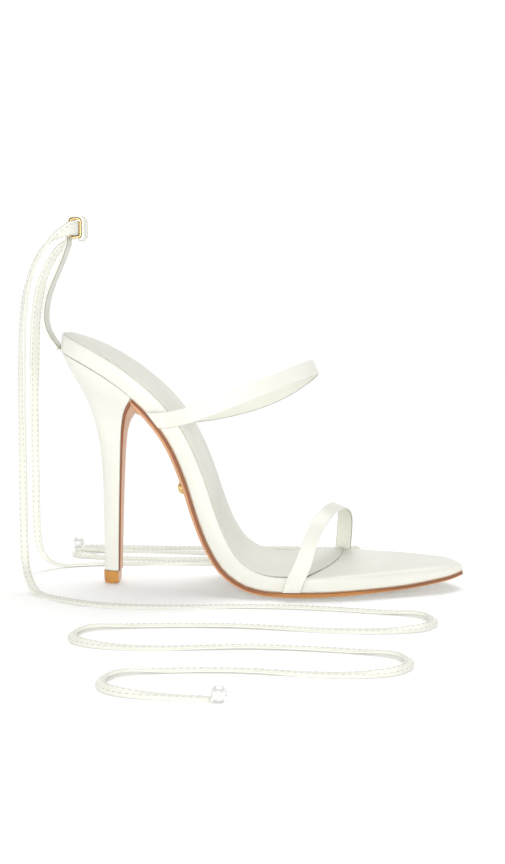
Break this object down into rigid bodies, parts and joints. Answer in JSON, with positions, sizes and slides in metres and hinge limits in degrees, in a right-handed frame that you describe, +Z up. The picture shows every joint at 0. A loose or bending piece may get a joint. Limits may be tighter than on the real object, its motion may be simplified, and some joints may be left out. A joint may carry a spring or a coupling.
{
  "type": "high-heeled sandal",
  "caption": "Ivory leather lace-up sandal with a slim stiletto heel, open toe, toe and instep straps and long ankle ties lying uncoiled.",
  "frame": {"origin": "middle of the shoe's box without its ties, on the floor", "axes": "+X from the heel to the toe, +Y to the inner side of the foot, +Z up"},
  "size_m": [0.2172, 0.3069, 0.1804],
  "materials": {
    "ivory_leather": "smooth, softly glossy",
    "lining_leather": "matt",
    "sole_leather": "polished edge",
    "amber_tip": "satin",
    "gold_metal": "polished"
  },
  "bodies": {
    "root": {"footbed": "ivory_leather", "sock": "lining_leather", "outsole": "sole_leather", "heel": "ivory_leather", "top_piece": "amber_tip", "toe_strap": "ivory_leather", "instep_strap": "ivory_leather", "back_strap": "ivory_leather", "keeper": "gold_metal", "tie_near": "ivory_leather", "tie_far": "ivory_leather", "bead_near": "ivory_leather", "bead_far": "ivory_leather", "arch_stud": "gold_metal"}
  },
  "joints": []
}
